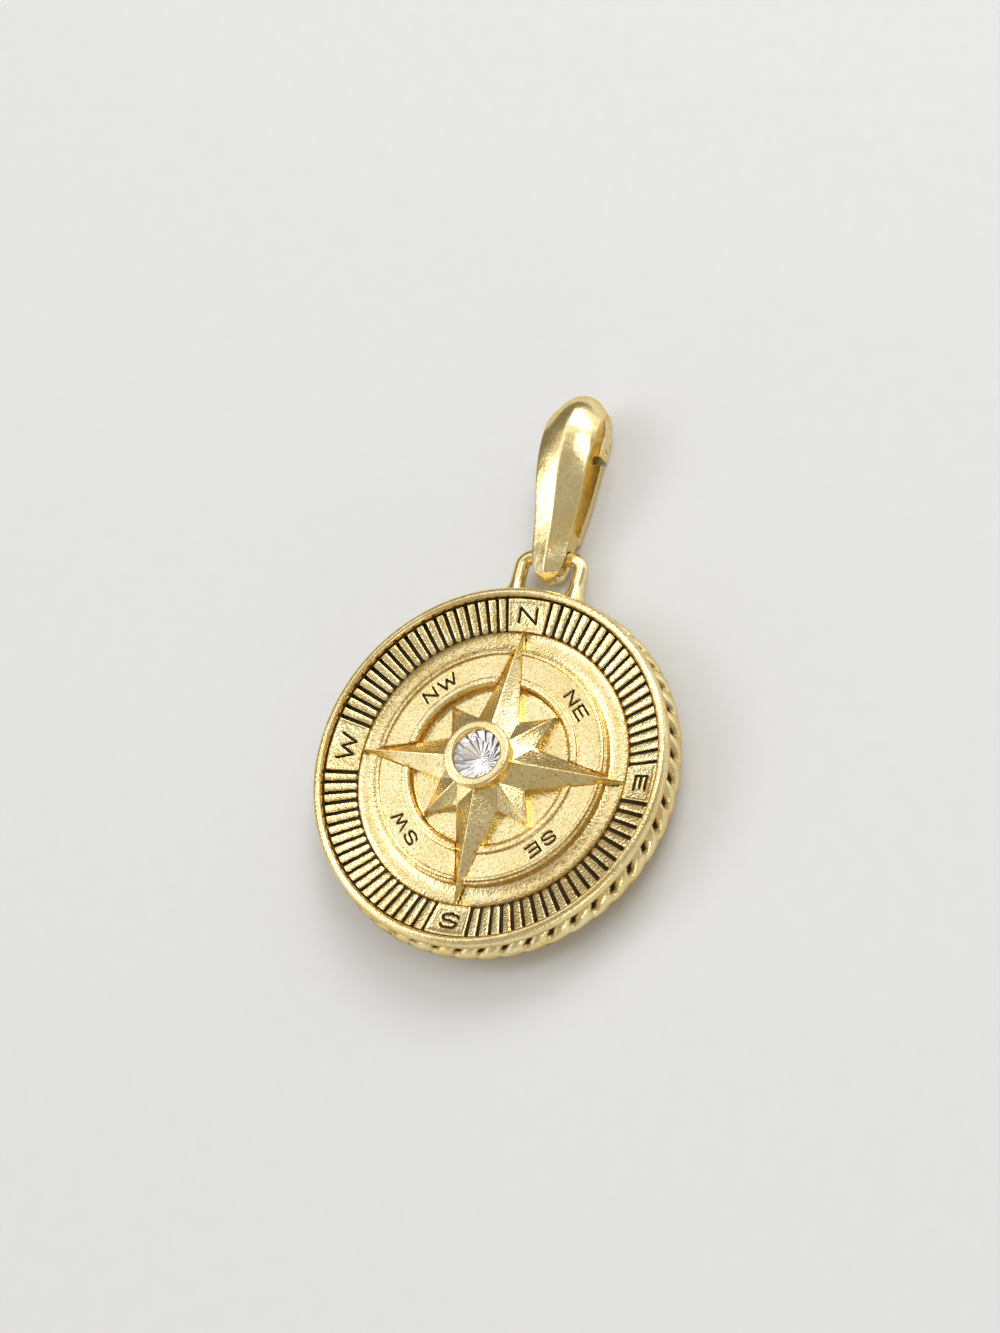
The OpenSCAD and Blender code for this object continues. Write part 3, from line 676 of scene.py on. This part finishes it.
def rope_strands():
    """Three twisted strands round the case's side."""
    rings = int(round(ROPE_LOBES * (360 - 2 * ROPE_GAP) / 360)) * 11 + 1
    b = np.linspace(ROPE_GAP, 360 - ROPE_GAP, rings)[:, None]
    a = np.linspace(0, 360, 36, endpoint=False)[None, :]
    turn = np.radians(ROPE_STRANDS * a - ROPE_LOBES * b + ROPE_PHASE)
    # Rounded strands that meet in narrow creases, with a deeper pocket where they run in under the rim
    phase = np.abs((turn / (2 * math.pi)) % 1.0 - 0.5) * 2
    high = 0.5 - 0.5 * np.sin(np.radians(a))
    strand = np.sqrt(np.clip(1 - (1 - phase) ** 2.2, 0, 1))
    pocket = smoothstep(0.62, 0.76, high) * (1 - smoothstep(0.12, 0.52, phase))
    s = ROPE_R + 0.05 - (0.14 + 0.20 * smoothstep(0.45, 0.75, high)) * (1 - strand) - 0.16 * pocket
    ring = ROPE_RING_R + s * np.cos(np.radians(a))
    bearing = np.radians(b)
    grid = np.stack([ring * np.sin(bearing), ring * np.cos(bearing), ROPE_Z - s * np.sin(np.radians(a))], -1)
    mesh = grid_mesh("rope_strands", grid, wrap_v=True, cap_first=True, cap_last=True, flip=True)
    # Painted shade in the creases, heavier towards the top under the rim, and in the pockets where the
    # strands run in under the rim
    crease = (0.22 + 0.42 * high) * smoothstep(0.35, 0.85, 1 - strand)
    set_patina_and_shade(mesh, np.maximum(crease, 0.78 * pocket))
    return mesh


# Star and stone

# The long and the short points: tip, half angle of the root, and heights from root to tip over the tick ring
POINT_KINDS = (
    {"tip": LONG_R, "half_angle": VALLEY_ANGLE, "edge": (-0.05, -0.55), "ridge": (0.95, -0.25)},
    {"tip": SHORT_R, "half_angle": 45 - VALLEY_ANGLE, "edge": (-0.05, -0.55), "ridge": (0.75, -0.32)},
)


def star_mesh():
    """The eight-point star: each point has two sloping sides up to a ridge, over upright flanks."""
    steps, rows = 10, 5
    bm = bmesh.new()

    def turned(x, y, z, bearing):
        c, s = math.cos(math.radians(bearing)), math.sin(math.radians(bearing))
        return Vector(((x * c + y * s) * MM, (y * c - x * s) * MM, z * MM))

    for k in range(8):
        kind, following = POINT_KINDS[k % 2], POINT_KINDS[(k + 1) % 2]
        tip_y, edge_z, ridge_z = kind["tip"], kind["edge"], kind["ridge"]
        root_y, root_w = star_root(kind["half_angle"])
        for side in (-1, 1):
            lines = []
            for i in range(steps + 1):
                u = i / steps
                edge = (side * flank_half(u, root_w), root_y + (tip_y - root_y) * u,
                        FACE_Z + edge_z[0] + (edge_z[1] - edge_z[0]) * u)
                ridge = (0.0, HUB_R + (tip_y - HUB_R) * u,
                         FACE_Z + ridge_z[0] + (ridge_z[1] - ridge_z[0]) * u)
                rise = np.subtract(ridge, edge)
                line = [tuple(np.add(edge, np.multiply(rise, j / rows))) for j in range(rows + 1)]
                line.insert(0, (edge[0], edge[1], FLOOR_Z + 0.01))
                lines.append([bm.verts.new(turned(*p, 45 * k)) for p in line])
            for i in range(steps):
                for j in range(rows + 1):
                    quad = [lines[i][j], lines[i + 1][j], lines[i + 1][j + 1], lines[i][j + 1]]
                    bm.faces.new(quad if side < 0 else quad[::-1])
            tip = lines[-1]
            if side > 0:
                bm.faces.new([tip_left[0], tip[0], tip[1], tip_left[1]])
                bm.faces.new([tip_left[1], tip[1], tip[-1]])
            tip_left = tip
        # The triangle between this point's ridge, the valley and the next ridge
        corners = (turned(0, HUB_R, FACE_Z + ridge_z[0], 45 * k),
                   turned(root_w, root_y, FACE_Z + edge_z[0], 45 * k),
                   turned(0, HUB_R, FACE_Z + following["ridge"][0], 45 * (k + 1)))
        bm.faces.new([bm.verts.new(corner) for corner in corners])
    bmesh.ops.remove_doubles(bm, verts=bm.verts, dist=2e-6)
    bmesh.ops.recalc_face_normals(bm, faces=bm.faces)
    mesh = bpy.data.meshes.new("star_body")
    bm.to_mesh(mesh)
    bm.free()
    return mesh


def bezel_mesh():
    """Turned cup round the stone, a little wider at its rounded lip than at the star."""
    seat_r, lip_r = STONE_R + 0.03, STONE_R - 0.08
    cup_z = GIRDLE_Z - 0.06 - 1.43 * math.tan(math.radians(40.8))
    profile = round_corners([(HUB_R, FACE_Z + 0.4), (2.12, FACE_Z + 0.62), (2.15, FACE_Z + 0.95),
                             (2.31, LIP_Z - 0.36), (2.32, LIP_Z - 0.14), (2.2, LIP_Z - 0.02), (2.0, LIP_Z),
                             (seat_r, LIP_Z), (lip_r, LIP_Z - 0.08), (lip_r, GIRDLE_Z + 0.16),
                             (seat_r, GIRDLE_Z + 0.09), (seat_r, GIRDLE_Z - 0.03), (0.35, cup_z)],
                            [0, 0.12, 0.3, 0.12, 0.12, 0.14, 0.1, 0.08, 0.06, 0.02, 0, 0, 0], 6)
    bearings = np.linspace(0, 360, 192, endpoint=False)
    mesh = grid_mesh("bezel", turn_profile(profile, bearings), wrap_u=True)
    # Painted shade at the cup's foot on the star and inside the cup round the stone
    r, z = profile[:, 0], profile[:, 1]
    inner = (r < seat_r + 0.01) & (z < LIP_Z - 0.1)
    foot = 1 - smoothstep(FACE_Z + 0.5, FACE_Z + 0.95, z)
    set_patina_and_shade(mesh, np.broadcast_to(np.maximum(0.3 * foot, 0.38 * inner), (len(bearings), len(profile))))
    return mesh


def brilliant():
    """Round brilliant: crown facets, girdle, and pavilion mains with painted reflections from dark to bright,
    and painted dark seams between them.
    """
    rng = np.random.default_rng(5)
    top_z, crown = GIRDLE_Z + GIRDLE_T, math.tan(math.radians(CROWN_ANGLE))
    mains = 16
    # From 1 for the mains on the side that is turned to the light to -1 for those across
    facing = np.cos(np.radians(22.5 * np.arange(mains) - 30))
    seam = rng.uniform(0.9, 2.6, mains) + 1.6 * (1 + facing)
    around = np.concatenate([[22.5 * k - seam[k], 22.5 * k, 22.5 * k + seam[k]] for k in range(mains)])
    eighths = np.arange(8) * 45

    def ring(r, z, angles):
        a = np.radians(angles)
        return np.column_stack([r * np.cos(a), r * np.sin(a), np.full(len(a), z)])

    low_r = 0.3 * STONE_R
    points = np.concatenate([
        ring(0.57 * STONE_R, top_z + 0.43 * STONE_R * crown, eighths),
        ring(0.78 * STONE_R, top_z + 0.22 * STONE_R * crown * 1.15, eighths + 22.5),
        ring(STONE_R, top_z, around),
        ring(STONE_R, GIRDLE_Z, around),
        ring(low_r, GIRDLE_Z - (STONE_R - low_r) * math.tan(math.radians(41.5)), around),
        [[0, 0, GIRDLE_Z - STONE_R * math.tan(math.radians(40.0))]]])
    n = len(around)
    star, girdle, under, low, culet = 8, 16, 16 + n, 16 + 2 * n, 16 + 3 * n
    faces, mirror, tone = [list(range(8))], [0.0], [1.0]

    def add(face, is_mirror=0.0, value=1.0):
        faces.append(face)
        mirror.append(is_mirror)
        tone.append(value)

    def at(k):
        """Index round the girdle of the point at 22.5 degrees times k."""
        return (3 * k + 1) % n

    for i in range(8):
        add([i, star + i, (i + 1) % 8])
        add([i, star + (i + 7) % 8, girdle + at(2 * i), star + i])
        for first in (at(2 * i), at(2 * i + 1)):
            add([star + i] + [girdle + (first + k) % n for k in range(4)])
    # Painted reflections of the mains; the slivers beside them are painted dark, darkest on the side turned
    # to the light
    painted_main_tones = rng.permutation([1.0, 0.97, 1.0, 0.82, 1.0, 0.9, 1.0, 0.62,
                              1.0, 0.95, 1.0, 0.86, 1.0, 0.7, 1.0, 0.98])
    for i in range(n):
        j = (i + 1) % n
        add([girdle + i, under + i, under + j, girdle + j])
        is_main = (i + 1) % 3 == 0
        value = painted_main_tones[(i // 3) % mains] if is_main else 0.12 * (1 - facing[((i + 1) // 3) % mains])
        add([under + i, low + i, low + j, under + j], 1.0, value)
        add([low + i, culet, low + j], 1.0, value if is_main else 0.1)
    mesh = bpy.data.meshes.new("brilliant")
    mesh.from_pydata([tuple(p * MM) for p in points], [], faces)
    bm = bmesh.new()
    bm.from_mesh(mesh)
    bmesh.ops.recalc_face_normals(bm, faces=bm.faces)
    bm.to_mesh(mesh)
    bm.free()
    mesh.shade_flat()
    for key, values in (("mirror", mirror), ("tone", tone)):
        data = mesh.attributes.new(key, "FLOAT", "FACE")
        data.data.foreach_set("value", np.array(values, np.float32))
    return mesh


# Bail

# Along the bail from the foot over its top to the hinge: the ridge's distance from the loop's bar and height,
# half width, drop to the side edges, depth of the wall, and swell of the facets
BAIL_ROWS = np.array([
    [-0.05, 0.24, 0.95, 0.10, 0.45, 0.10],
    [-1.05, 0.20, 0.80, 0.14, 0.55, 0.10],
    [-1.70, 0.62, 0.62, 0.22, 0.75, 0.05],
    [-2.02, 1.35, 0.52, 0.26, 0.92, 0.00],
    [-1.75, 2.15, 0.75, 0.34, 0.92, 0.00],
    [-0.90, 2.66, 1.12, 0.42, 0.90, 0.00],
    [0.70, 2.95, 1.35, 0.42, 0.85, 0.00],
    [2.40, 3.30, 1.50, 0.42, 0.90, 0.00],
    [3.80, 3.75, 1.67, 0.45, 0.95, 0.02],
    [5.20, 4.20, 1.81, 0.50, 1.00, 0.05],
    [7.00, 4.55, 1.92, 0.60, 1.10, 0.10],
    [8.70, 4.60, 1.98, 0.80, 1.30, 0.16],
    [10.20, 4.20, 1.93, 1.05, 1.45, 0.22],
    [11.25, 3.40, 1.80, 1.25, 1.60, 0.26],
    [11.75, 2.35, 1.66, 1.25, 1.60, 0.26],
    [11.55, 1.25, 1.58, 0.95, 1.50, 0.22],
    [10.75, 0.42, 1.55, 0.50, 1.30, 0.20],
    [9.60, 0.04, 1.54, 0.20, 1.22, 0.20],
    [8.70, 0.00, 1.54, 0.10, 1.24, 0.20],
    [7.85, 0.00, 1.54, 0.08, 1.24, 0.20],
])


def smooth_rows(rows, t):
    """Rows between table rows, on a smooth curve through them."""
    last = len(rows) - 1
    i = np.minimum(np.floor(t).astype(int), last - 1)
    u = (t - i)[:, None]
    p0, p1 = rows[np.maximum(i - 1, 0)], rows[i]
    p2, p3 = rows[i + 1], rows[np.minimum(i + 2, last)]
    return 0.5 * (2 * p1 + (p2 - p0) * u + (2 * p0 - 5 * p1 + 4 * p2 - p3) * u * u
                  + (3 * p1 - p0 - 3 * p2 + p3) * u ** 3)


def bail_section(row):
    """Points round one section, as (across, depth): two facets, sides and inner face."""
    w, drop, wall, swell = row[2:]
    lean = 0.12
    share = np.linspace(-1, 1, 25)
    soft = np.sqrt(share ** 2 + 0.02 ** 2) - 0.02
    facet = drop * (soft - swell * np.sin(math.pi * np.clip(soft, 0, 1)))
    outer = np.column_stack([share * w, facet])
    edge_r = min(0.12, 0.3 * (wall - drop))
    right = round_corners([outer[-2], (w, drop), (w - lean, wall), (0.0, wall)], edge_r, 5)[1:-1]
    left = round_corners([(0.0, wall), (lean - w, wall), (-w, drop), outer[1]], edge_r, 5)[1:-1]
    inner = np.column_stack([np.linspace(0.9, -0.9, 7) * (w - lean - edge_r), np.full(7, wall)])
    return np.concatenate([outer[1:-1], right, inner, left])


def strap_mesh():
    """The bail's strap, its sections set square to the ridge."""
    last = len(BAIL_ROWS) - 1
    t = np.linspace(0, last, last * 7 + 1)
    rows = smooth_rows(BAIL_ROWS, t)
    ahead = smooth_rows(BAIL_ROWS, np.minimum(t + 0.05, last))
    behind = smooth_rows(BAIL_ROWS, np.maximum(t - 0.05, 0))
    d = ahead[:, :2] - behind[:, :2]
    inward = np.column_stack([d[:, 1], -d[:, 0]]) / np.linalg.norm(d, axis=1)[:, None]
    grid = []
    for row, way in zip(rows, inward):
        section = bail_section(row)
        grid.append([(x, BAR_Y + row[0] + way[0] * depth, row[1] + way[1] * depth) for x, depth in section])
    return grid_mesh("bail_strap", np.array(grid), wrap_v=True, cap_first=True, cap_last=True)


def solid_mesh(bm):
    """A mesh of the finished bmesh, which is freed."""
    mesh = bpy.data.meshes.new("solid")
    bm.to_mesh(mesh)
    bm.free()
    return mesh


def cylinder_x(r, half, y, z, sides):
    """Cylinder along X from -half to half."""
    bm = bmesh.new()
    turn = Matrix.Translation(Vector((0, y, z)) * MM) @ Matrix.Rotation(math.pi / 2, 4, "Y")
    bmesh.ops.create_cone(bm, cap_ends=True, segments=sides, radius1=r * MM, radius2=r * MM,
                          depth=2 * half * MM, matrix=turn)
    return solid_mesh(bm)


def box_mesh(lo, hi):
    """Box between two corners."""
    bm = bmesh.new()
    lo, hi = Vector(lo) * MM, Vector(hi) * MM
    bmesh.ops.create_cube(bm, size=1.0,
                          matrix=Matrix.Translation((lo + hi) / 2) @ Matrix.Diagonal((*(hi - lo), 1)))
    return solid_mesh(bm)


def combine(ob, tools):
    """Joins or cuts the object with each (operation, mesh) in turn, then drops the tools."""
    for operation, mesh in tools:
        other = linked("tool", mesh)
        mod = ob.modifiers.new("Join", "BOOLEAN")
        mod.operation = operation
        mod.solver = "EXACT"
        mod.object = other
        apply_modifiers(ob)
        bpy.data.objects.remove(other)


def taken(ob, degrees):
    """The work object's mesh, smooth by the angle. The object is removed."""
    mesh = ob.data.copy()
    bpy.data.objects.remove(ob)
    smooth_by_angle(mesh, degrees)
    return mesh


def bail_mesh():
    """The strap with its foot, bored for the loop's bar and slotted for the gate's knuckle."""
    ob = linked("bail_work", strap_mesh())
    slot_half = 0.72
    combine(ob, [
        ("UNION", cylinder_x(1.15, 0.62, BAR_Y, BAR_Z, 64)),
        ("UNION", box_mesh((-1.1, BAR_Y - 0.3, 0.75), (1.1, BAR_Y + 1.9, 2.35))),
        ("DIFFERENCE", cylinder_x(WIRE_R + 0.08, 2.3, BAR_Y, BAR_Z, 64)),
        ("DIFFERENCE", box_mesh((-slot_half, HINGE_Y - 1, -0.3),
                                (slot_half, HINGE_Y + KNUCKLE_R + 0.15, HINGE_Z + KNUCKLE_R + 0.35))),
        ("DIFFERENCE", cylinder_x(PIN_R + 0.01, 1.9, HINGE_Y, HINGE_Z, 32)),
    ])
    return taken(ob, 35)


def gate_mesh():
    """The gate's plate and its knuckle, with softened edges."""
    top = HINGE_DY - 0.95
    half = [(0.82, 1.3), (1.12, 1.6), (1.34, 4.2), (1.4, top), (0.66, top), (0.66, HINGE_DY)]
    outline = [(-0.82, 1.3)] + half + [(-x, y) for x, y in half[:0:-1]]
    bm = bmesh.new()
    face = bm.faces.new([bm.verts.new(Vector((x, BAR_Y + y, 0.08)) * MM) for x, y in outline])
    made = bmesh.ops.extrude_face_region(bm, geom=[face])
    raised = [v for v in made["geom"] if isinstance(v, bmesh.types.BMVert)]
    bmesh.ops.translate(bm, verts=raised, vec=(0, 0, 0.6 * MM))
    bmesh.ops.recalc_face_normals(bm, faces=bm.faces)
    ob = linked("gate_work", solid_mesh(bm))
    combine(ob, [
        ("UNION", cylinder_x(KNUCKLE_R, 0.68, HINGE_Y, HINGE_Z, 48)),
        ("DIFFERENCE", cylinder_x(PIN_R + 0.03, 0.9, HINGE_Y, HINGE_Z, 32)),
    ])
    bevel(ob, 0.07, 35)
    return taken(ob, 40)


def pin_mesh():
    """The hinge pin with slightly domed ends."""
    half = 1.47
    profile = round_corners([(0.02, half), (0.16, half - 0.015), (PIN_R, half - 0.06), (PIN_R, 0.06 - half),
                             (0.16, 0.015 - half), (0.02, -half)], 0.04, 4)
    a = np.radians(np.linspace(0, 360, 32, endpoint=False))[:, None]
    r, x = profile[None, :, 0], profile[None, :, 1]
    along = np.broadcast_to(x, (len(a), len(profile)))
    grid = np.stack([along, HINGE_Y + r * np.cos(a), HINGE_Z + r * np.sin(a)], -1)
    return grid_mesh("pin", grid, wrap_u=True)


# Pieces

piece("case_shell", case_shell(), "medal_case", "medallion", rim_gold)
piece("back_plate", back_plate(), "medal_case", "medallion", satin)
piece("tick_ring", tick_ring(), "medal_case", "medallion", relief_gold)
piece("letter_band", letter_band(), "medal_case", "medallion", relief_gold)
piece("loop_wire", loop_wire(), "medal_case", "medallion", polished)
piece("loop_block", loop_block(), "medal_case", "medallion", satin)
piece("rope_strands", rope_strands(), "rope_edge", "medallion", rope_gold)

star = piece("star_body", star_mesh(), "compass_star", "medallion", star_gold)
bevel(star, 0.05, 12)
smooth_by_angle(star.data, 50)
piece("bezel", bezel_mesh(), "compass_star", "medallion", rim_gold)
piece("brilliant", brilliant(), "center_stone", "medallion", clear)

piece("bail_strap", bail_mesh(), "bail", "bail", polished)
piece("gate_plate", gate_mesh(), "bail_gate", "gate", polished)
piece("gate_pin", pin_mesh(), "hinge_pin", "bail", polished)


# Studio

def area_light(name, energy, size, place, target):
    """Soft rectangular light at a place, turned to its target."""
    data = bpy.data.lights.new(name, "AREA")
    data.energy = energy
    data.shape = "RECTANGLE"
    data.size, data.size_y = size
    ob = linked(name, data)
    ob.location = place
    ob.rotation_mode = "QUATERNION"
    ob.rotation_quaternion = (Vector(target) - Vector(place)).to_track_quat("-Z", "Y")


def studio_floor():
    """A wide pale floor that the pendant lies on."""
    side = np.linspace(-1.5, 1.5, 60)
    x, y = np.meshgrid(side, side, indexing="ij")
    mesh = grid_mesh("studio_floor", np.stack([x, y, np.full_like(x, -0.00002)], -1) / MM)
    nodes = Nodes("floor_paper")
    speck = nodes.noise(700.0, 3.0, 0.6)
    paper = nodes.mix(speck, (0.70, 0.715, 0.74, 1), (0.735, 0.755, 0.78, 1))
    nodes.put(nodes.shader.inputs["Base Color"], paper)
    nodes.shader.inputs["Roughness"].default_value = 0.8
    nodes.put(nodes.shader.inputs["Normal"], nodes.bump(speck, 0.05, 0.0001))
    mesh.materials.append(nodes.material)
    linked("studio_floor", mesh)


def studio_world(across, bright, dim_near, dim_far):
    """A bright arch over the studio, and dimmer and warmer light on both sides across it."""
    world = bpy.data.worlds.new("studio")
    world.use_nodes = True
    tree = world.node_tree
    background = tree.nodes["Background"]
    coords = tree.nodes.new("ShaderNodeTexCoord")
    dot = tree.nodes.new("ShaderNodeVectorMath")
    dot.operation = "DOT_PRODUCT"
    dot.inputs[1].default_value = Vector(across).normalized()
    tree.links.new(coords.outputs["Generated"], dot.inputs[0])

    def fall(edge, end, last):
        span = tree.nodes.new("ShaderNodeMapRange")
        span.interpolation_type = "SMOOTHSTEP"
        for key, value in (("From Min", edge), ("From Max", end), ("To Min", bright), ("To Max", last)):
            span.inputs[key].default_value = value
        tree.links.new(dot.outputs["Value"], span.inputs["Value"])
        return span.outputs["Result"]

    lower = tree.nodes.new("ShaderNodeMath")
    lower.operation = "MINIMUM"
    tree.links.new(fall(0.06, 0.48, dim_near), lower.inputs[0])
    tree.links.new(fall(-0.06, -0.48, dim_far), lower.inputs[1])
    tree.links.new(lower.outputs[0], background.inputs["Strength"])
    tint = tree.nodes.new("ShaderNodeMapRange")
    tint.data_type = "FLOAT_VECTOR"
    tree.links.new(lower.outputs[0], tint.inputs["Vector"])
    for key, value in (("From_Min_FLOAT3", (dim_far,) * 3), ("From_Max_FLOAT3", (bright,) * 3),
                       ("To_Min_FLOAT3", (1.0, 0.90, 0.74)), ("To_Max_FLOAT3", (1.0, 1.0, 0.985))):
        next(i for i in tint.inputs if i.identifier == key).default_value = value
    tree.links.new(tint.outputs["Vector"], background.inputs["Color"])
    return world


studio_floor()

scene = bpy.context.scene
scene.world = studio_world((0.606, -0.606, 0.515), 1.22, 0.46, 0.24)
area_light("key_soft", 0.8, (0.26, 0.20), (0.06, 0.36, 0.33), (0, 0.004, 0))
area_light("key_top", 0.22, (0.14, 0.14), (0.15, 0.13, 0.40), (0, 0, 0))
area_light("key_side", 0.35, (0.22, 0.18), (-0.36, -0.06, 0.36), (0, 0.004, 0))
area_light("fill_low", 0.12, (0.22, 0.07), (0.24, -0.27, 0.10), (0, 0, 0.002))

scene.view_settings.view_transform = "Standard"
scene.view_settings.look = "None"

# Camera fitted to the photograph through the medal's circles. The rows of the turn are the camera's right,
# up and back, and the shift is the place of the tick ring's centre in them.
FOCAL_PX, LONG_SIDE_PX = 2600.0, 1333.0
SENSOR = 36.0
CAMERA_TURN = np.array([[0.900, 0.239, -0.365], [-0.095, 0.924, 0.371], [0.426, -0.299, 0.854]])
CAMERA_SHIFT = np.array([-0.85, -6.33, -170.1])

# The nearest true rotation
left, _, right = np.linalg.svd(CAMERA_TURN)
turn = left @ right
spot = -turn.T @ CAMERA_SHIFT + np.array([0, 0, FACE_Z])
lens = bpy.data.cameras.new("camera")
lens.sensor_width = SENSOR
lens.lens = FOCAL_PX / LONG_SIDE_PX * SENSOR
lens.clip_start, lens.clip_end = 0.01, 10.0
camera = linked("camera", lens)
pose = Matrix(turn.tolist()).to_4x4().inverted()
pose.translation = Vector(spot * MM)
camera.matrix_world = pose
scene.camera = camera
